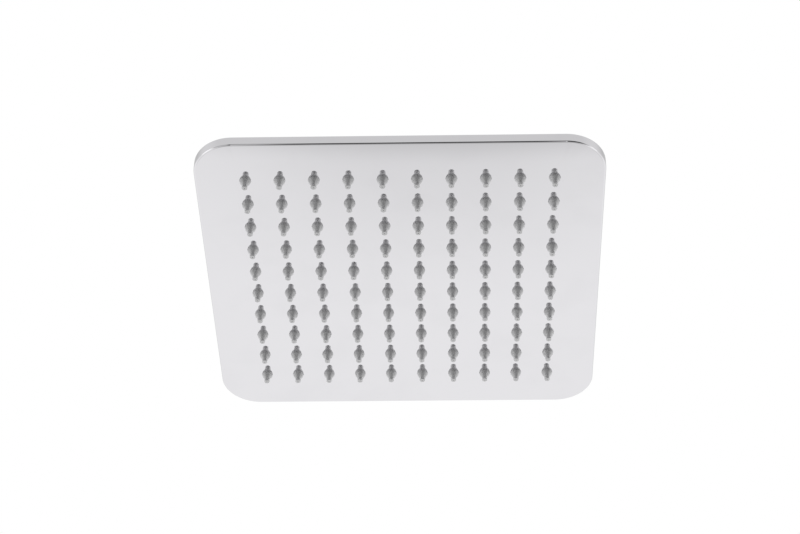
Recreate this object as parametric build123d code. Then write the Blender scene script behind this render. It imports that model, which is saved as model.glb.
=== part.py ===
"""Rain shower head: a square spray plate with silicone nozzles, hung from a ball joint.

Sizes are in millimetres. The origin is the centre of the inlet nut's mouth, +Z runs up along
the inlet, and the spray face looks straight down.
"""

import os
from math import atan2, cos, degrees, radians, sin, sqrt

from build123d import *

# Head outline
head_width = 200.0
corner_radius = 20.0
inner_corner = 5.0  # smallest corner of the plates and pockets inside the rim
rim_height = 5.6
rim_wall = 1.8
rim_edge_chamfer = 0.6
face_edge_round = 0.9

# Spray plate, mat and water chamber, from the face inwards
face_wall = 1.6
mat_thickness = 1.0
mat_clearance = 0.3
chamber_depth = 2.0
chamber_margin = 5.5  # from the outer nozzles' centres to the chamber's side
body_wall = 1.6
flange_width = 6.0
flange_thickness = 1.2

# Nozzles
nozzle_rows = 10
field_margin = 24.7  # from the head's side to the centres of the outer nozzles
nozzle_base = 5.6  # across the flats where the nozzle leaves the face
nozzle_tip = 2.9
cone_drop = 3.4  # how far below the face the cone runs out into the tip
nozzle_drop = 5.2
nozzle_sides = 6  # flats that stand for the round of each of the many nozzles
outlet_bore = 1.0
hole_clearance = 0.1

# Rear cover
cover_wall = 1.4
cover_gap = 0.15  # seam between the cover and the rim
cover_foot = 2.2  # width of the cover's edge that stands on the spray plate
cover_air = 0.4  # room between the water body and the cover
cover_side_air = 1.0
bevel_width = 10.0  # narrower where the water body needs the room
boss_width = 7.0
boss_height = 0.8

# Hub, neck and ball, one moulding with the water body
hub_pass = 0.8  # room to put the cover on over the ball
hub_gap = 0.3
neck_radius = 5.6
neck_length = 11.6  # from the boss to the ball's centre
ball_radius = 8.2
ball_clearance = 0.1
passage_radius = 3.4

# Friction ring under the ball
ring_wall = 1.0  # how far the ring stands out past the ball
ring_hold = 0.6  # how far the ring reaches in under the ball
ring_top_drop = 1.2  # from the ball's centre down to the ring
ring_height = 4.3
ring_clearance = 0.1
ring_cone = 74.0  # degrees from the axis to where the ring's cone touches the ball
ring_split = 1.6

# Inlet nut, seat washer and strainer
hex_flats = 24.0
hex_height = 14.0
hex_chamfer = 0.8
cup_wall = 2.1
nut_pass = 0.2  # room for the ball to pass through the nut
lip_thickness = 2.0
thread_radius = 10.48
thread_length = 10.0
washer_bore = 5.4
washer_thickness = 2.0
washer_clearance = 0.1
strainer_thickness = 0.6
strainer_rows = 3
strainer_pitch = 2.9
strainer_hole = 2.0

overcut = 1.0  # how far a cutting tool runs past the face that it opens

# Levels, worked out down from the mouth of the nut
ball_reach = ball_radius + ball_clearance
thread_end = -thread_length
washer_top = thread_end - strainer_thickness
washer_bottom = washer_top - washer_thickness
ball_z = washer_bottom - sqrt(ball_reach**2 - washer_bore**2)  # the washer's bore rests on the ball
ring_top = ball_z - ring_top_drop
ring_bottom = ring_top - ring_height
lip_z = ring_bottom - ring_clearance
nut_bottom = lip_z - lip_thickness
boss_top = ball_z - neck_length
cover_top = boss_top - boss_height
body_top = cover_top - cover_wall - cover_air
chamber_top = body_top - body_wall
land_z = chamber_top - chamber_depth
mat_seat = land_z - mat_thickness
face_z = mat_seat - face_wall
rim_top = face_z + rim_height

# Half widths, worked out from the nozzle field outwards and from the rim inwards
head_half = head_width / 2
field_half = head_half - field_margin
chamber_half = field_half + chamber_margin
body_half = chamber_half + body_wall
flange_half = body_half + flange_width
land_half = head_half - rim_wall
cover_half = land_half - cover_gap
cover_room = cover_half - cover_foot
plateau_room = max(cover_room - bevel_width, body_half + cover_side_air)

# Radii, worked out from the ball outwards
ring_radius = ball_radius + ring_wall
cavity_radius = ring_radius + ring_clearance
hub_radius = ball_radius + hub_pass

nozzle_pitch = 2 * field_half / (nozzle_rows - 1)
nozzle_places = GridLocations(nozzle_pitch, nozzle_pitch, nozzle_rows, nozzle_rows)


def plan(half):
    """A square with corners that keep the rim's centres, down to the smallest corner."""
    corner = max(corner_radius - (head_half - half), inner_corner)
    return RectangleRounded(2 * half, 2 * half, corner)


def slab(half, bottom, top):
    return Pos(0, 0, bottom) * extrude(plan(half), top - bottom)


def hopper(low_half, high_half, bottom, top):
    """A slab whose sides lean in from one half width to another."""
    lean = degrees(atan2(low_half - high_half, top - bottom))
    return Pos(0, 0, bottom) * extrude(plan(low_half), top - bottom, taper=lean)


def disc(radius, bottom, top):
    return Pos(0, 0, bottom) * extrude(Circle(radius), top - bottom)


def nozzle_section(width):
    turn = 180 / nozzle_sides
    return RegularPolygon(width / 2, nozzle_sides, major_radius=False, rotation=turn)


def nozzle_cone(bottom, top, clearance):
    """The nozzle's cone between two levels, or the hole that it fits with a clearance."""
    slope = (nozzle_base - nozzle_tip) / 2 / cone_drop
    wide = nozzle_base + 2 * (top - face_z) * slope + 2 * clearance
    upright = extrude(nozzle_section(wide), top - bottom, taper=degrees(atan2(slope, 1)))
    return Pos(0, 0, top) * mirror(upright, Plane.XY)


def make_face_plate():
    plate = slab(head_half, face_z, rim_top)
    plate = fillet(plate.faces().sort_by(Axis.Z)[0].edges(), face_edge_round)
    plate = chamfer(plate.faces().sort_by(Axis.Z)[-1].edges(), rim_edge_chamfer)
    plate -= slab(land_half, land_z, rim_top + overcut)
    plate -= slab(body_half + mat_clearance, mat_seat, rim_top + overcut)
    hole = nozzle_cone(face_z - overcut, mat_seat + overcut, hole_clearance)
    return plate - [place * hole for place in nozzle_places]


def make_nozzle_mat():
    mat = slab(body_half, mat_seat, land_z)
    cone_end = face_z - cone_drop
    tip_end = face_z - nozzle_drop
    tip = Pos(0, 0, tip_end) * extrude(nozzle_section(nozzle_tip), cone_end - tip_end)
    nozzle = nozzle_cone(cone_end, mat_seat, 0) + tip
    mat += [place * nozzle for place in nozzle_places]
    outlet = Rectangle(outlet_bore, outlet_bore)
    bore = Pos(0, 0, tip_end - overcut) * extrude(outlet, land_z - tip_end + 2 * overcut)
    return mat - [place * bore for place in nozzle_places]


def make_water_body():
    body = slab(body_half, land_z, body_top)
    body += slab(flange_half, land_z, land_z + flange_thickness)
    body -= slab(chamber_half, land_z - overcut, chamber_top)
    body += disc(hub_radius, chamber_top, boss_top)
    body += disc(neck_radius, boss_top, ball_z)
    body += Pos(0, 0, ball_z) * Sphere(ball_radius)
    return body - disc(passage_radius, chamber_top - overcut, ball_z + ball_radius)


def make_rear_cover():
    cover = slab(cover_half, land_z, rim_top)
    cover += hopper(cover_half, plateau_room + cover_foot, rim_top, cover_top)
    ceiling = cover_top - cover_wall
    cover -= slab(cover_room, land_z, rim_top - cover_wall)
    cover -= hopper(cover_room, plateau_room, rim_top - cover_wall, ceiling)
    cover += disc(hub_radius + boss_width, ceiling, boss_top)
    return cover - disc(hub_radius + hub_gap, land_z, boss_top + overcut)


def make_friction_ring():
    ring = disc(ring_radius, ring_bottom, ring_top)
    ring -= disc(ball_radius - ring_hold, ring_bottom - overcut, ring_top)
    seat_depth = ball_reach / cos(radians(ring_cone))
    seat = Cone(0, ball_reach / sin(radians(ring_cone)), seat_depth)
    ring -= Pos(0, 0, ball_z - seat_depth / 2) * seat
    return ring - Pos(0, ring_radius, ball_z) * Box(ring_split, ring_radius, 2 * ball_radius)


def make_inlet_nut():
    hexagon = RegularPolygon(hex_flats / 2, 6, major_radius=False)
    nut = Pos(0, 0, -hex_height) * extrude(hexagon, hex_height)
    nut = chamfer(nut.faces().sort_by(Axis.Z)[-1].edges(), hex_chamfer)
    nut += disc(cavity_radius + cup_wall, nut_bottom, -hex_height)
    nut -= disc(thread_radius, thread_end, overcut)
    nut -= disc(cavity_radius, lip_z, thread_end)
    return nut - disc(ball_radius + nut_pass, nut_bottom - overcut, lip_z)


def make_seat_washer():
    washer = disc(cavity_radius - washer_clearance, washer_bottom, washer_top)
    return washer - disc(washer_bore, washer_bottom - overcut, washer_top + overcut)


def make_inlet_strainer():
    strainer = disc(cavity_radius - washer_clearance, washer_top, thread_end)
    hole = Rectangle(strainer_hole, strainer_hole)
    punch = Pos(0, 0, washer_top - overcut) * extrude(hole, strainer_thickness + 2 * overcut)
    places = GridLocations(strainer_pitch, strainer_pitch, strainer_rows, strainer_rows)
    return strainer - [place * punch for place in places]


pieces = {
    "face_plate": make_face_plate,
    "nozzle_mat": make_nozzle_mat,
    "water_body": make_water_body,
    "rear_cover": make_rear_cover,
    "friction_ring": make_friction_ring,
    "inlet_nut": make_inlet_nut,
    "seat_washer": make_seat_washer,
    "inlet_strainer": make_inlet_strainer,
}

os.makedirs("parts", exist_ok=True)
for name, make in pieces.items():
    export_step(make(), f"parts/{name}.step")
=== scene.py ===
"""Dresses the rain shower head: plate, nozzles, cover, inlet nut, thread, finishes and stage."""

from math import atan2, cos, radians, sin, tan, tau

import bmesh
import bpy
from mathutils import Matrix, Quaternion, Vector


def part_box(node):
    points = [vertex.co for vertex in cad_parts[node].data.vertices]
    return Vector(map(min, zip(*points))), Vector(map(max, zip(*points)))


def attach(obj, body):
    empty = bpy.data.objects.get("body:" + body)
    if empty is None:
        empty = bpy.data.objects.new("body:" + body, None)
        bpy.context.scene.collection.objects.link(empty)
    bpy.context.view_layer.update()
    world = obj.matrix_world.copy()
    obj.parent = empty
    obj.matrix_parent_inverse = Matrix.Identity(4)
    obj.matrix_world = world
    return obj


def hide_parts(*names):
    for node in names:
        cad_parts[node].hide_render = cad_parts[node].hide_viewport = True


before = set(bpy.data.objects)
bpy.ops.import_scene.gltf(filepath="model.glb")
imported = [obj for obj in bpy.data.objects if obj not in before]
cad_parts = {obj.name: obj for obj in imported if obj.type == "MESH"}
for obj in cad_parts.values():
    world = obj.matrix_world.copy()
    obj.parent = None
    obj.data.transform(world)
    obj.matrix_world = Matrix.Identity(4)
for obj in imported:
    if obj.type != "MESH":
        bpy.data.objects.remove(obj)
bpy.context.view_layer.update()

bl_info = {
    "name": "Rain shower head",
    "version": (1, 0, 0),
    "blender": (4, 5, 0),
    "location": "3D View > Sidebar > Shower",
    "description": "Builds the visible pieces and finishes of a square rain shower head",
    "category": "Object",
}

plate_low, plate_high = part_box("face_plate")
mat_low, mat_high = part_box("nozzle_mat")
cover_low, cover_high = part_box("rear_cover")
nut_low, nut_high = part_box("inlet_nut")
ring_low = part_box("friction_ring")[0]
strainer_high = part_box("inlet_strainer")[1]

# Points of a mesh that are nearer than this count as one
touch = 1e-7

# An edge stays crisp where the surface turns by more than this
metal_crease = radians(25)
rubber_crease = radians(40)


def length(name, description, default):
    """A size in metres."""
    return bpy.props.FloatProperty(
        name=name, description=description, default=default, unit="LENGTH"
    )


def angle(name, description, degrees):
    """An angle, which is written in degrees and kept in radians."""
    return bpy.props.FloatProperty(
        name=name, description=description, default=radians(degrees), subtype="ANGLE"
    )


def power(name, description, default):
    """A lamp's power in watts."""
    return bpy.props.FloatProperty(
        name=name, description=description, default=default, unit="POWER"
    )


def share(name, description, default):
    """A part of a whole, from 0 to 1."""
    return bpy.props.FloatProperty(
        name=name, description=description, default=default, min=0, max=1, subtype="FACTOR"
    )


def count(name, description, default, least):
    """A whole number."""
    return bpy.props.IntProperty(name=name, description=description, default=default, min=least)


def tint(name, description, default):
    """A colour."""
    return bpy.props.FloatVectorProperty(
        name=name, description=description, default=default, subtype="COLOR"
    )


def place(name, description, default):
    """A point in the part's frame."""
    return bpy.props.FloatVectorProperty(
        name=name, description=description, default=default, subtype="TRANSLATION"
    )


class PlateSettings(bpy.types.PropertyGroup):
    """Sizes of the spray plate"""

    corner_radius: length("Corner radius", "Radius of the square's corners in plan", 0.0200)
    corner_arcs: count("Corner arcs", "Straight runs in each corner", 20, 4)
    edge_round: length("Edge round", "Round between the face and the rim", 0.0009)
    edge_arcs: count("Edge arcs", "Straight runs across the edge round", 6, 1)
    rim_round: length("Rim round", "Round on the rim's upper edge", 0.0006)
    rim_arcs: count("Rim arcs", "Straight runs across the rim round", 3, 1)
    rim_wall: length("Rim wall", "Thickness of the upturned rim", 0.0018)
    face_wall: length("Face wall", "Thickness of the plate under the mat", 0.0016)
    mat_gap: length("Gap round the mat", "Room between the mat and its pocket", 0.0003)
    mat_corner: length("Mat corner", "Radius of the mat's corners in plan", 0.0050)


class NozzleSettings(bpy.types.PropertyGroup):
    """Sizes of the nozzles and of their holes in the plate"""

    rows: count("Rows", "Nozzles along each side of the field", 10, 2)
    sides: count("Sides", "Faces round each nozzle", 16, 6)
    hole_sides: count("Hole sides", "Faces round each hole", 32, 6)
    margin: length("Margin", "From the head's side to the outer nozzles", 0.0247)
    root_width: length("Root width", "Across the nozzle where it leaves the face", 0.0055)
    tip_width: length("Tip width", "Across the nozzle's straight tip", 0.0029)
    skirt: length("Skirt", "Height of the straight foot on the face", 0.0009)
    draft: length("Draft", "How far the straight foot narrows", 0.0000275)
    cone_drop: length("Cone", "From the face to the end of the cone", 0.0034)
    soft: length("Soft edges", "Height of the rounding at both ends of the cone", 0.0004)
    shoulder: length("Shoulder", "How far the rounding comes in under the foot", 0.000165)
    fillet: length("Fillet", "How far the rounding stands out over the tip", 0.0001305)
    lip: length("Lip", "Round on the tip's edge", 0.0002)
    outlet_width: length("Outlet", "Across the water outlet in the tip", 0.0005)
    outlet_depth: length("Outlet depth", "Depth of the outlet that shows", 0.0008)
    hole_gap: length("Hole gap", "Room between a nozzle and its hole", 0.0001)


class CoverSettings(bpy.types.PropertyGroup):
    """Sizes of the rear cover"""

    wall: length("Wall", "Thickness of the cover", 0.0014)
    foot: length("Foot", "Width of the edge that stands on the plate", 0.0022)
    slope: length("Slope", "Width of the sloping border", 0.0100)
    edge_round: length("Edge round", "Round on the border's edges", 0.0006)
    edge_arcs: count("Edge arcs", "Straight runs across the edge round", 3, 1)
    corner_arcs: count("Corner arcs", "Straight runs in each corner", 16, 4)
    boss_radius: length("Boss radius", "Radius of the raised ring round the neck", 0.0160)
    boss_height: length("Boss height", "How far the ring stands up", 0.0008)
    boss_round: length("Boss round", "Broken edges of the ring", 0.0003)
    boss_sides: count("Boss sides", "Faces round the ring", 64, 12)
    hub_hole: length("Hub hole", "Radius of the hole for the hub", 0.0093)


class InletSettings(bpy.types.PropertyGroup):
    """Sizes of the inlet nut and its thread"""

    sides: count("Sides", "Faces round the nut's turned walls", 72, 12)
    hex_height: length("Hexagon", "Height of the six flats", 0.0140)
    hex_round: length("Hexagon round", "Round on the edges between the flats", 0.00025)
    hex_arcs: count("Hexagon arcs", "Straight runs across that round", 2, 1)
    crown_angle: angle("Crown", "Fall of the turned edge at the flats' upper end", 30)
    collar_radius: length("Collar radius", "Radius of the round collar", 0.0114)
    cavity_radius: length("Cavity radius", "Radius of the room for the ball and ring", 0.0093)
    lip_radius: length("Lip radius", "Radius of the opening under the ball", 0.0084)
    ring_gap: length("Ring gap", "Room under the friction ring", 0.0001)
    edge_round: length("Edge round", "Width of the broken edges", 0.0005)
    groove: length("Groove", "Width of the turned line on the collar", 0.0008)
    thread_radius: length("Thread radius", "Radius of the wall that carries the thread", 0.01048)
    thread_pitch: length("Thread pitch", "Rise of the thread in one turn", 0.001814)
    thread_depth: length("Thread depth", "Height of the thread's ridge", 0.00105)
    thread_root: length("Thread root", "How far the ridge reaches into the wall", 0.0001)
    thread_foot: share("Thread foot", "Half the ridge's foot, as a part of the pitch", 0.46)
    thread_crest: share("Thread crest", "Half the ridge's crest, as a part of the pitch", 0.08)
    thread_steps: count("Thread steps", "Straight runs in one turn of the thread", 40, 12)


class FinishSettings(bpy.types.PropertyGroup):
    """Colours of the pieces"""

    polished: tint("Polished metal", "Colour of the plated metal", (0.780, 0.773, 0.794))
    silicone: tint("Silicone", "Colour of the nozzles", (0.47, 0.47, 0.475))
    moulding: tint("Moulding", "Colour of the neck and water body", (0.30, 0.30, 0.31))
    ring: tint("Ring", "Colour of the friction ring", (0.80, 0.80, 0.77))
    washer: tint("Washer", "Colour of the rubber washer", (0.035, 0.035, 0.037))
    strainer: tint("Strainer", "Colour of the steel strainer", (0.55, 0.55, 0.56))


class StageSettings(bpy.types.PropertyGroup):
    """Floor, surroundings, lamps and camera"""

    floor_drop: length("Floor drop", "From the inlet down to the floor", 1.6)
    floor_size: length("Floor size", "From the floor's middle to its side", 60.0)
    floor_colour: tint("Floor", "Colour of the floor", (0.86, 0.86, 0.86))
    front_dim: share("Dim front", "How far the front of the room is dimmed", 0.96)
    ceiling_dim: share("Dim ceiling", "How far the ceiling is dimmed", 0.27)
    below_dim: share("Dim below", "How far the room under the head is dimmed", 0.75)
    wall_dim: share("Dim walls", "How far the far sides of the room are dimmed", 0.22)
    panel_light: share("Side panels", "Light that the panels at the sides add", 0.5)
    lamp_power: power("Lamp", "Power of the overhead lamp", 6.0)
    lamp_place: place("Lamp place", "Place of the overhead lamp", (0.5, -0.4, 1.6))
    left_power: power("Left lamp", "Power of the left side lamp", 4.5)
    right_power: power("Right lamp", "Power of the right side lamp", 5.8)
    side_place: place("Side place", "Place of the right side lamp", (0.85, 0.42, -0.20))
    lamp_size: length("Lamp size", "Across each lamp", 0.8)
    lens: bpy.props.FloatProperty(
        name="Lens", description="Focal length in millimetres", default=95.8, unit="CAMERA"
    )
    camera_place: place("Camera", "Place of the camera", (0.0264, -0.8210, -0.7573))
    camera_target: place(
        "Target", "Point on the face that the camera looks at", (-0.0015, -0.0110, plate_low.z)
    )
    camera_roll: angle("Roll", "Turn of the camera about its view", 0.764)


class Value:
    """A node's output. Arithmetic on one that is a number adds Math nodes."""

    def __init__(self, nodes, socket):
        self.nodes = nodes
        self.socket = socket

    def __add__(self, other):
        return self.nodes.math("ADD", self, other)

    def __sub__(self, other):
        return self.nodes.math("SUBTRACT", self, other)

    def __rsub__(self, other):
        return self.nodes.math("SUBTRACT", other, self)

    def __mul__(self, other):
        return self.nodes.math("MULTIPLY", self, other)

    def __neg__(self):
        return 0 - self

    def __abs__(self):
        return self.nodes.math("ABSOLUTE", self)

    __radd__ = __add__
    __rmul__ = __mul__

    def ramp(self, low, high):
        """0 below low, 1 above high and smooth between them."""
        steps = {"Value": self, "From Min": low, "From Max": high}
        return self.nodes.add("MapRange", {"interpolation_type": "SMOOTHSTEP"}, steps)

    def arc(self, low, high):
        """For one axis of a direction: a ramp between two angles, in degrees."""
        return self.ramp(sin(radians(low)), sin(radians(high)))


class Nodes:
    """A node tree that is filled by adding nodes with their settings and inputs."""

    def __init__(self, tree):
        self.tree = tree
        tree.nodes.clear()

    def add(self, kind, settings=None, inputs=None, out=0):
        """Adds a node and returns one of its outputs."""
        node = self.tree.nodes.new("ShaderNode" + kind)
        for name, value in (settings or {}).items():
            setattr(node, name, value)
        for key, value in (inputs or {}).items():
            if isinstance(value, Value):
                self.tree.links.new(value.socket, node.inputs[key])
            else:
                node.inputs[key].default_value = value
        return Value(self, node.outputs[out]) if node.outputs else None

    def math(self, operation, *values):
        """The result of a Math node on numbers and outputs."""
        return self.add("Math", {"operation": operation}, dict(enumerate(values)))

    def axes(self, source):
        """X, Y and Z of one of the texture coordinates."""
        split = self.add("SeparateXYZ", None, {0: self.add("TexCoord", out=source)})
        return [Value(self, socket) for socket in split.socket.node.outputs]

    def noise(self, scale, detail=2.0):
        """Noise from 0 to 1, with about as many cells in a metre as the scale."""
        where = self.add("TexCoord", out="Object")
        return self.add("TexNoise", None, {"Vector": where, "Scale": scale, "Detail": detail})

    def blend(self, amount, low, high):
        """A colour between two others."""
        ends = {0: amount, 6: low, 7: high}
        return self.add("Mix", {"data_type": "RGBA"}, ends, out=2)

    def relief(self, height, strength, depth):
        """A normal for fine relief of a depth in metres."""
        return self.add("Bump", None, {"Strength": strength, "Distance": depth, "Height": height})

    def finish(self, inputs):
        """Closes a material with its shader."""
        shader = self.add("BsdfPrincipled", None, inputs)
        self.add("OutputMaterial", None, {"Surface": shader})


def colour(rgb, shade=1.0):
    """A colour for a socket, which a shade over 1 makes paler and one under 1 darker."""
    return (rgb[0] * shade, rgb[1] * shade, rgb[2] * shade, 1.0)


def new_finish(name):
    """A new material and its empty node tree."""
    material = bpy.data.materials.new(name)
    material.use_nodes = True
    return material, Nodes(material.node_tree)


def polished_metal(finishes):
    """Bright plating with a trace of haze and wiping marks, made once for all that share it."""
    if "polished_metal" in bpy.data.materials:
        return bpy.data.materials["polished_metal"]
    material, nodes = new_finish("polished_metal")
    clear, hazy = colour(finishes.polished), colour(finishes.polished, 0.98)
    haze = nodes.noise(scale=38.0, detail=3.0).ramp(0.45, 0.75)
    wiping = nodes.noise(scale=900.0).ramp(0.55, 0.8)
    nodes.finish({
        "Base Color": nodes.blend(haze, clear, hazy),
        "Metallic": 1.0,
        "Roughness": haze * 0.012 + wiping * 0.010 + 0.022,
    })
    return material


def silicone_rubber(rgb, root_z, tip_z, lip):
    """Soft moulded rubber with painted light: the thin tips are painted paler, standing in for light
    through the thin silicone, but hardly on their ends.
    """
    material, nodes = new_finish("silicone")
    depth = -nodes.axes("Object")[2]
    # Painted light: the tips are painted paler towards their ends, for light that passes through the
    # thin silicone and for the deeper shade near the face; the end faces, already lit from below,
    # are held back from it.
    end = depth.ramp(-tip_z - lip, -tip_z)
    thin = depth.ramp(-root_z, -tip_z) * (1 - end * 0.9)
    cloudy = nodes.noise(scale=240.0, detail=3.0)
    fine = nodes.noise(scale=2600.0)
    rubber = nodes.blend(cloudy, colour(rgb, 0.95), colour(rgb, 1.05))
    # The lit colour that the painted light takes the tips towards.
    pale = colour(rgb, 1.28)
    nodes.finish({
        "Base Color": nodes.blend(thin, rubber, pale),
        "Roughness": fine * 0.08 + 0.14,
        "Specular IOR Level": 1.0,
        "Sheen Weight": 0.5,
        "Normal": nodes.relief(fine, strength=0.1, depth=0.00003),
    })
    return material


def satin_finish(name, rgb, grain, roughness, depth, metallic=0.0):
    """A moulded or brushed surface with fine grain in its gloss and relief and a cloudy colour."""
    material, nodes = new_finish(name)
    fine = nodes.noise(scale=grain)
    cloudy = nodes.noise(scale=120.0, detail=3.0)
    nodes.finish({
        "Base Color": nodes.blend(cloudy, colour(rgb, 0.93), colour(rgb, 1.07)),
        "Metallic": metallic,
        "Roughness": fine * 0.12 + roughness,
        "Normal": nodes.relief(fine, strength=0.25, depth=depth),
    })
    return material


def new_object(bm, name, material):
    """Puts a finished mesh into the scene."""
    mesh = bpy.data.meshes.new(name)
    bm.to_mesh(mesh)
    bm.free()
    mesh.materials.append(material)
    made = bpy.data.objects.new(name, mesh)
    bpy.context.scene.collection.objects.link(made)
    return made


def settle(bm, name, material, body, crease):
    """Makes a mesh a piece that rides on a body, with smooth curves, flat faces and crisp edges."""
    bmesh.ops.remove_doubles(bm, verts=bm.verts[:], dist=touch)
    bmesh.ops.recalc_face_normals(bm, faces=bm.faces[:])
    piece = new_object(bm, name, material)
    piece.data.shade_smooth()
    piece.data.set_sharp_from_angle(angle=crease)
    normals = piece.modifiers.new("normals", "WEIGHTED_NORMAL")
    normals.keep_sharp = True
    normals.weight = 100
    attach(piece, body)
    return piece


def points_of(geometry):
    """The points among the points, edges and faces that an operator gives back."""
    return [item for item in geometry if isinstance(item, bmesh.types.BMVert)]


def level_edges(bm, level):
    """The edges that lie in a level."""
    return [e for e in bm.edges if all(abs(v.co.z - level) < touch for v in e.verts)]


def level_face(bm, level):
    """The largest face that lies in a level."""
    flat = [f for f in bm.faces if all(abs(v.co.z - level) < touch for v in f.verts)]
    return max(flat, key=lambda f: f.calc_area())


def rounded_square(bm, half, corner, level, arcs):
    """A flat face with round corners."""
    corners = bmesh.ops.create_grid(bm, x_segments=1, y_segments=1, size=half)["verts"]
    bmesh.ops.translate(bm, vec=(0, 0, level), verts=corners)
    made = bmesh.ops.bevel(
        bm,
        geom=corners,
        offset=corner,
        offset_type="OFFSET",
        segments=arcs,
        profile=0.5,
        affect="VERTICES",
        material=-1,
    )
    return made["verts"][0].link_faces[0]


def push(bm, face, rise):
    """Draws a face out along Z and returns it at its new level; a lone face stays as the far end."""
    lone = all(e.is_boundary for e in face.edges)
    made = bmesh.ops.extrude_face_region(bm, geom=[face])["geom"]
    if not lone:
        bmesh.ops.delete(bm, geom=[face], context="FACES_ONLY")
    bmesh.ops.translate(bm, vec=(0, 0, rise), verts=points_of(made))
    return next(item for item in made if isinstance(item, bmesh.types.BMFace))


def narrow(bm, face, inset, rise=0.0):
    """Draws a face in from its border, and along Z where the new border slopes."""
    bmesh.ops.inset_region(bm, faces=[face], thickness=inset, use_even_offset=True)
    bmesh.ops.translate(bm, vec=(0, 0, rise), verts=face.verts[:])
    return face


def round_edges(bm, edges, width, arcs):
    """Rounds edges off, each with a number of straight runs."""
    bmesh.ops.bevel(
        bm,
        geom=edges,
        offset=width,
        offset_type="OFFSET",
        segments=arcs,
        profile=0.5,
        affect="EDGES",
        material=-1,
    )


def pierced(bm, face, rings):
    """Fills a flat face again round the rings of edges that pass through it."""
    rim = list(face.edges)
    bmesh.ops.delete(bm, geom=[face], context="FACES_ONLY")
    bmesh.ops.triangle_fill(bm, use_beauty=True, edges=rim + rings)


def turned(bm, outline, sides, closed=False):
    """Spins an outline of (radius, level) points about Z."""
    points = [bm.verts.new((radius, 0, level)) for radius, level in outline]
    edges = [bm.edges.new(pair) for pair in zip(points, points[1:])]
    if closed:
        edges.append(bm.edges.new((points[-1], points[0])))
    bmesh.ops.spin(
        bm,
        geom=points + edges,
        axis=(0, 0, 1),
        cent=(0, 0, 0),
        angle=tau,
        steps=sides,
        use_merge=True,
        use_duplicate=False,
    )
    bmesh.ops.remove_doubles(bm, verts=bm.verts[:], dist=touch)


def repeat(bm, places):
    """Sets a copy of all that is in the mesh at each place."""
    seed = bm.verts[:] + bm.edges[:] + bm.faces[:]
    for spot in places[1:]:
        made = bmesh.ops.duplicate(bm, geom=seed)["geom"]
        bmesh.ops.translate(bm, vec=spot, verts=points_of(made))
    bmesh.ops.translate(bm, vec=places[0], verts=points_of(seed))


def nozzle_places(nozzles):
    """The middles of the nozzles, in rows both ways."""
    half = plate_high.x - nozzles.margin
    pitch = 2 * half / (nozzles.rows - 1)
    steps = [row * pitch - half for row in range(nozzles.rows)]
    return [Vector((x, y, 0)) for x in steps for y in steps]


def nozzle_slope(nozzles):
    """How fast the nozzle's radius grows from the end of its cone to its root."""
    return (nozzles.root_width - nozzles.tip_width) / 2 / nozzles.cone_drop


class SHOWER_OT_spray_plate(bpy.types.Operator):
    """Build the polished plate with its rim, pocket and nozzle holes"""

    bl_idname = "shower.spray_plate"
    bl_label = "Spray plate"

    def execute(self, context):
        plate = context.scene.shower_plate
        nozzles = context.scene.shower_nozzles
        face_z, rim_z, land_z = plate_low.z, plate_high.z, cover_low.z
        seat_z = face_z + plate.face_wall
        hole = nozzles.root_width / 2 + nozzles.hole_gap
        wide = hole + nozzle_slope(nozzles) * plate.face_wall
        bm = bmesh.new()
        turned(bm, [(hole, face_z), (wide, seat_z)], nozzles.hole_sides)
        repeat(bm, nozzle_places(nozzles))
        holes_low = level_edges(bm, face_z)
        holes_high = level_edges(bm, seat_z)
        face = rounded_square(bm, plate_high.x, plate.corner_radius, face_z, plate.corner_arcs)
        top = push(bm, face, rim_z - face_z)
        round_edges(bm, list(face.edges), plate.edge_round, plate.edge_arcs)
        round_edges(bm, list(top.edges), plate.rim_round, plate.rim_arcs)
        top = narrow(bm, level_face(bm, rim_z), plate.rim_wall - plate.rim_round)
        land = push(bm, top, land_z - rim_z)
        border = plate_high.x - plate.rim_wall - mat_high.x - plate.mat_gap
        pocket = push(bm, narrow(bm, land, border), seat_z - land_z)
        pierced(bm, pocket, holes_high)
        pierced(bm, level_face(bm, face_z), holes_low)
        metal = polished_metal(context.scene.shower_finishes)
        piece = settle(bm, "spray_plate", metal, "head", metal_crease)
        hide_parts("face_plate")
        return {"FINISHED"}


class SHOWER_OT_nozzle_mat(bpy.types.Operator):
    """Build the silicone mat with its round nozzles"""

    bl_idname = "shower.nozzle_mat"
    bl_label = "Nozzle mat"

    def execute(self, context):
        plate = context.scene.shower_plate
        nozzles = context.scene.shower_nozzles
        face_z, tip_z = plate_low.z, mat_low.z
        seat_z = face_z + plate.face_wall
        skirt_z = face_z - nozzles.skirt
        cone_z = face_z - nozzles.cone_drop
        root, tip = nozzles.root_width / 2, nozzles.tip_width / 2
        outlet = nozzles.outlet_width / 2
        outline = [
            (root + nozzle_slope(nozzles) * plate.face_wall, seat_z),
            (root, face_z),
            (root - nozzles.draft, skirt_z),
            (root - nozzles.shoulder, skirt_z - nozzles.soft),
            (tip + nozzles.fillet, cone_z + nozzles.soft),
            (tip, cone_z - nozzles.soft),
            (tip, tip_z + nozzles.lip),
            (tip - nozzles.lip, tip_z),
            (outlet, tip_z),
            (outlet, tip_z + nozzles.outlet_depth),
            (0, tip_z + nozzles.outlet_depth),
        ]
        bm = bmesh.new()
        turned(bm, outline, nozzles.sides)
        repeat(bm, nozzle_places(nozzles))
        roots = level_edges(bm, seat_z)
        under = rounded_square(bm, mat_high.x, plate.mat_corner, seat_z, plate.corner_arcs)
        push(bm, under, mat_high.z - seat_z)
        pierced(bm, under, roots)
        rgb = context.scene.shower_finishes.silicone
        half_way_z = (face_z + cone_z) / 2
        silicone = silicone_rubber(rgb, half_way_z, tip_z, nozzles.lip)
        piece = settle(bm, "nozzles", silicone, "head", rubber_crease)
        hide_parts("nozzle_mat")
        return {"FINISHED"}


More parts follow.
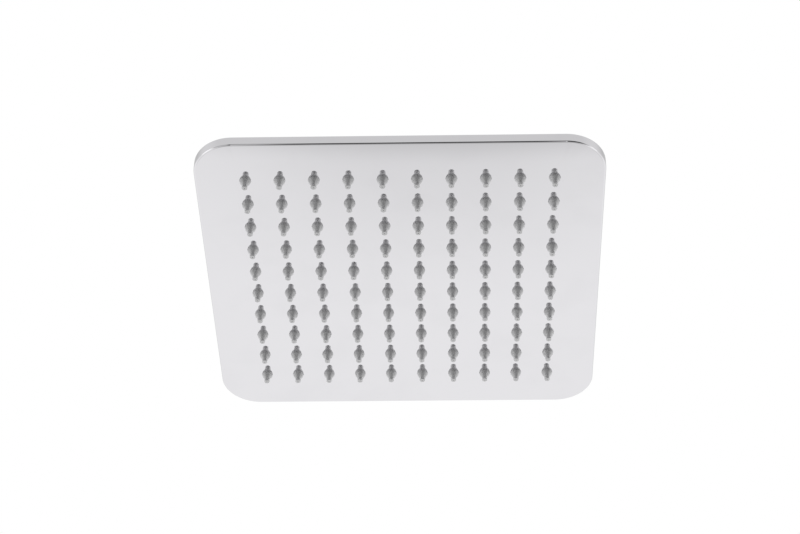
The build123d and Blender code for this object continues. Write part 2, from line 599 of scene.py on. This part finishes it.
class SHOWER_OT_rear_cover(bpy.types.Operator):
    """Build the polished cover with its sloping border and the ring round the neck"""

    bl_idname = "shower.rear_cover"
    bl_label = "Rear cover"

    def execute(self, context):
        cover = context.scene.shower_cover
        foot_z, shoulder_z, boss_z = cover_low.z, plate_high.z, cover_high.z
        top_z = boss_z - cover.boss_height
        outline = [
            (cover.hub_hole, top_z - cover.wall),
            (cover.hub_hole, boss_z - cover.boss_round),
            (cover.hub_hole + cover.boss_round, boss_z),
            (cover.boss_radius - cover.boss_round, boss_z),
            (cover.boss_radius, boss_z - cover.boss_round),
            (cover.boss_radius, top_z),
        ]
        bm = bmesh.new()
        turned(bm, outline, cover.boss_sides)
        hub_ring = level_edges(bm, top_z - cover.wall)
        boss_ring = level_edges(bm, top_z)
        half = cover_high.x
        corner = context.scene.shower_plate.corner_radius - (plate_high.x - half)
        outside = rounded_square(bm, half, corner, foot_z, cover.corner_arcs)
        shoulder = push(bm, outside, shoulder_z - foot_z)
        plateau = narrow(bm, shoulder, cover.slope, top_z - shoulder_z)
        edges = level_edges(bm, shoulder_z) + list(plateau.edges)
        round_edges(bm, edges, cover.edge_round, cover.edge_arcs)
        pierced(bm, level_face(bm, top_z), boss_ring)
        room, room_corner = half - cover.foot, corner - cover.foot
        inside = rounded_square(bm, room, room_corner, foot_z, cover.corner_arcs)
        mouth = list(inside.edges)
        eaves = push(bm, inside, shoulder_z - cover.wall - foot_z)
        pierced(bm, narrow(bm, eaves, cover.slope, top_z - shoulder_z), hub_ring)
        bmesh.ops.delete(bm, geom=[inside], context="FACES_ONLY")
        pierced(bm, outside, mouth)
        metal = polished_metal(context.scene.shower_finishes)
        piece = settle(bm, "cover", metal, "head", metal_crease)
        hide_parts("rear_cover")
        return {"FINISHED"}


class SHOWER_OT_inlet_nut(bpy.types.Operator):
    """Build the inlet nut with its six flats, turned crown and grooved collar"""

    bl_idname = "shower.inlet_nut"
    bl_label = "Inlet nut"

    def execute(self, context):
        inlet = context.scene.shower_inlet
        top_z, low_z, seat_z = nut_high.z, nut_low.z, strainer_high.z
        hex_z = top_z - inlet.hex_height
        lip_z = ring_low.z - inlet.ring_gap
        groove_z = (hex_z + low_z) / 2
        corner, flat = nut_high.x, nut_high.y
        crown = flat - inlet.edge_round
        collar, bore = inlet.collar_radius, inlet.thread_radius
        outline = [
            (bore + inlet.edge_round, top_z),
            (crown, top_z),
            (corner, top_z),
            (corner, hex_z),
            (collar, hex_z),
            (collar, groove_z + inlet.groove / 2),
            (collar - inlet.groove / 2, groove_z),
            (collar, groove_z - inlet.groove / 2),
            (collar, low_z + inlet.edge_round),
            (collar - inlet.edge_round, low_z),
            (inlet.lip_radius, low_z),
            (inlet.lip_radius, lip_z),
            (inlet.cavity_radius, lip_z),
            (inlet.cavity_radius, seat_z),
            (bore, seat_z),
            (bore, top_z - inlet.edge_round),
        ]
        bm = bmesh.new()
        turned(bm, outline, inlet.sides, closed=True)
        self.six_flats(bm, corner, flat, crown, tan(inlet.crown_angle))
        uprights = [e for e in bm.edges if all(v.co.xy.length > corner - touch for v in e.verts)]
        round_edges(bm, uprights, inlet.hex_round, inlet.hex_arcs)
        metal = polished_metal(context.scene.shower_finishes)
        piece = settle(bm, "nut", metal, "inlet", metal_crease)
        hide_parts("inlet_nut")
        return {"FINISHED"}

    def six_flats(self, bm, corner, flat, crown, fall):
        """Moves the round wall in to six flats, and its upper end down to the turned crown."""
        sixth = tau / 6
        wall = [v for v in bm.verts if v.co.xy.length > corner - touch]
        top_z = max(v.co.z for v in wall)
        for point in wall:
            off_middle = atan2(point.co.y, point.co.x) % sixth - sixth / 2
            radius = flat / cos(off_middle)
            point.co.xy = point.co.xy * (radius / corner)
            if point.co.z > top_z - touch:
                point.co.z = top_z - (radius - crown) * fall


class SHOWER_OT_inlet_thread(bpy.types.Operator):
    """Build the thread inside the inlet nut"""

    bl_idname = "shower.inlet_thread"
    bl_label = "Inlet thread"

    def execute(self, context):
        inlet = context.scene.shower_inlet
        pitch = inlet.thread_pitch
        root = inlet.thread_radius + inlet.thread_root
        crest = inlet.thread_radius - inlet.thread_depth
        wide, thin = pitch * inlet.thread_foot, pitch * inlet.thread_crest
        # Whole turns, with half a pitch left free at each end
        start_z = strainer_high.z + pitch / 2
        end_z = nut_high.z - inlet.edge_round - pitch / 2
        turns = int((end_z - start_z) / pitch)
        steps = inlet.thread_steps * turns
        ridge = [(root, -wide), (crest, -thin), (crest, thin), (root, wide)]
        bm = bmesh.new()
        points = [bm.verts.new((radius, 0, start_z + rise)) for radius, rise in ridge]
        edges = [bm.edges.new(pair) for pair in zip(points, points[1:] + points[:1])]
        bmesh.ops.spin(
            bm,
            geom=points + edges,
            axis=(0, 0, 1),
            cent=(0, 0, 0),
            dvec=(0, 0, pitch * turns / steps),
            angle=tau * turns,
            steps=steps,
            use_duplicate=False,
        )
        ends = [e for e in bm.edges if e.is_boundary]
        bmesh.ops.holes_fill(bm, edges=ends, sides=len(ridge))
        metal = polished_metal(context.scene.shower_finishes)
        settle(bm, "inlet_thread", metal, "inlet", metal_crease)
        return {"FINISHED"}


class SHOWER_OT_solid_finishes(bpy.types.Operator):
    """Give the solid pieces inside the head and the nut their finishes"""

    bl_idname = "shower.solid_finishes"
    bl_label = "Solid finishes"

    def execute(self, context):
        finishes = context.scene.shower_finishes
        materials = {
            "water_body": satin_finish(
                "moulding", finishes.moulding, grain=1500.0, roughness=0.30, depth=0.00003
            ),
            "friction_ring": satin_finish(
                "ring_plastic", finishes.ring, grain=1800.0, roughness=0.40, depth=0.00003
            ),
            "seat_washer": satin_finish(
                "washer_rubber", finishes.washer, grain=2200.0, roughness=0.55, depth=0.00005
            ),
            "inlet_strainer": satin_finish(
                "strainer_steel", finishes.strainer, grain=1200.0, roughness=0.22, depth=0.00002,
                metallic=1.0,
            ),
        }
        for name, material in materials.items():
            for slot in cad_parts[name].material_slots:
                slot.material = material
        return {"FINISHED"}


# The surroundings by direction: x to the right, y to the back and z up, each from -1 to 1

def side_panels(x, y, z):
    """Bright panels at both sides of the front, a little lower than the head."""
    middle, height = 0.06, -0.22
    beside = abs(x - middle).arc(50, 66)
    return beside * (1 - abs(z - height).arc(8, 18)) * (-y).arc(1, 7)


def dim_front(x, y, z):
    """The dim front, which thins out to both sides, upwards and downwards, with two pale strips."""
    middle = -0.0175
    front = (-y).arc(12, 40) * (1 - x.arc(35, 60) * 0.5) * (1 - (-x).arc(5, 20) * 0.5)
    across = abs(x - middle)
    strips = across.arc(3.2, 4.9) * (1 - across.arc(6, 8)) * (-z).arc(10, 20)
    return front * (1 - z.arc(2, 24)) * (1 - (-z).arc(49, 70)) * (1 - strips * 0.8)


def dim_ceiling(x, y, z):
    """The ceiling up to a bright panel overhead, paler at the sides and darker at the back."""
    ceiling = z.arc(2, 20) * (1 - z.arc(55, 70))
    return ceiling * (1 - abs(x).arc(30, 50) * 0.3) * (y.arc(0, 30) * 0.5 + 1)


def dim_back(x, y, z):
    """The back of the room, which the face mirrors, darker towards the floor and in the middle."""
    middle = -0.01
    fall = (-z).arc(40, 46.5) * 0.18 * (1 - abs(x - middle).arc(1, 7) * 0.6)
    foot = (-z).arc(44.3, 45.4) * 0.16
    return (fall + foot) * y.arc(11, 30)


def dim_below(y, z):
    """The room under the head, paler towards the back."""
    return (-z).arc(58, 72) * (1 - y.arc(2, 14) * 0.8)


def dim_walls(x):
    """The far sides of the room."""
    return abs(x).arc(66, 78)


class SHOWER_OT_stage(bpy.types.Operator):
    """Set up the floor, the soft surroundings, the lamps and the camera"""

    bl_idname = "shower.stage"
    bl_label = "Stage"

    def execute(self, context):
        stage = context.scene.shower_stage
        self.floor(stage)
        self.surroundings(context.scene, stage)
        self.lamps(context.scene, stage)
        self.camera(context.scene, stage)
        context.scene.view_settings.view_transform = "Standard"
        return {"FINISHED"}

    def floor(self, stage):
        """A wide pale floor under the head, which lights nothing and isn't mirrored."""
        bm = bmesh.new()
        bmesh.ops.create_grid(bm, x_segments=1, y_segments=1, size=stage.floor_size)
        bmesh.ops.translate(bm, vec=(0, 0, -stage.floor_drop), verts=bm.verts)
        paint = satin_finish(
            "floor_paint", stage.floor_colour, grain=300.0, roughness=0.7, depth=0.0001
        )
        floor = new_object(bm, "floor", paint)
        floor.visible_glossy = False
        floor.visible_diffuse = False

    def surroundings(self, scene, stage):
        """White for the camera; for the light a pale room, dim in front, with soft panels."""
        world = bpy.data.worlds.new("surroundings")
        world.use_nodes = True
        scene.world = world
        nodes = Nodes(world.node_tree)
        x, y, z = nodes.axes("Generated")
        panels = side_panels(x, y, z)
        level = 1 - dim_back(x, y, z)
        level = level * (1 - dim_front(x, y, z) * (1 - panels) * stage.front_dim)
        level = level * (1 - dim_ceiling(x, y, z) * stage.ceiling_dim)
        level = level * (1 - dim_below(y, z) * stage.below_dim)
        level = level * (1 - dim_walls(x) * stage.wall_dim)
        level = level + panels * stage.panel_light
        camera_ray = nodes.add("LightPath", out="Is Camera Ray")
        level = camera_ray + (1 - camera_ray) * level
        backdrop = nodes.add("Background", None, {"Color": (1, 1, 1, 1), "Strength": level})
        nodes.add("OutputWorld", None, {"Surface": backdrop})

    def lamps(self, scene, stage):
        """Soft lamps above and at both sides, which the polished metal doesn't mirror."""
        left_place = Vector(stage.side_place) * Vector((-1, 1, 1))
        lamps = {
            "overhead": (stage.lamp_place, stage.lamp_power),
            "right": (stage.side_place, stage.right_power),
            "left": (left_place, stage.left_power),
        }
        for name, (spot, watts) in lamps.items():
            light = bpy.data.lights.new(name, "AREA")
            light.shape = "DISK"
            light.size = stage.lamp_size
            light.energy = watts
            lamp = bpy.data.objects.new(name, light)
            lamp.location = spot
            lamp.rotation_euler = lamp.location.to_track_quat("Z", "Y").to_euler()
            lamp.visible_camera = False
            lamp.visible_glossy = False
            scene.collection.objects.link(lamp)

    def camera(self, scene, stage):
        """The camera below the front edge, looking up at the face."""
        data = bpy.data.cameras.new("camera")
        data.lens = stage.lens
        data.sensor_width = 36.0
        data.clip_start = 0.01
        camera = bpy.data.objects.new("camera", data)
        sight = Vector(stage.camera_target) - Vector(stage.camera_place)
        roll = Quaternion((0, 0, 1), stage.camera_roll)
        camera.location = stage.camera_place
        camera.rotation_euler = (sight.to_track_quat("-Z", "Y") @ roll).to_euler()
        scene.collection.objects.link(camera)
        scene.camera = camera


class SHOWER_PT_sidebar(bpy.types.Panel):
    """Lists the steps that build the shower head, and their settings"""

    bl_label = "Rain shower head"
    bl_idname = "SHOWER_PT_sidebar"
    bl_space_type = "VIEW_3D"
    bl_region_type = "UI"
    bl_category = "Shower"

    def draw(self, context):
        for operator in operators:
            self.layout.operator(operator.bl_idname)
        for name, group in settings.items():
            values = getattr(context.scene, name)
            for setting in group.__annotations__:
                self.layout.prop(values, setting)


settings = {
    "shower_plate": PlateSettings,
    "shower_nozzles": NozzleSettings,
    "shower_cover": CoverSettings,
    "shower_inlet": InletSettings,
    "shower_finishes": FinishSettings,
    "shower_stage": StageSettings,
}
operators = (
    SHOWER_OT_spray_plate,
    SHOWER_OT_nozzle_mat,
    SHOWER_OT_rear_cover,
    SHOWER_OT_inlet_nut,
    SHOWER_OT_inlet_thread,
    SHOWER_OT_solid_finishes,
    SHOWER_OT_stage,
)


def register():
    for name, group in settings.items():
        bpy.utils.register_class(group)
        setattr(bpy.types.Scene, name, bpy.props.PointerProperty(type=group))
    for operator in operators:
        bpy.utils.register_class(operator)
    bpy.utils.register_class(SHOWER_PT_sidebar)


def unregister():
    bpy.utils.unregister_class(SHOWER_PT_sidebar)
    for operator in reversed(operators):
        bpy.utils.unregister_class(operator)
    for name, group in reversed(settings.items()):
        delattr(bpy.types.Scene, name)
        bpy.utils.unregister_class(group)


def main():
    register()
    bpy.ops.shower.spray_plate()
    bpy.ops.shower.nozzle_mat()
    bpy.ops.shower.rear_cover()
    bpy.ops.shower.inlet_nut()
    bpy.ops.shower.inlet_thread()
    bpy.ops.shower.solid_finishes()
    bpy.ops.shower.stage()


if __name__ == "__main__":
    main()
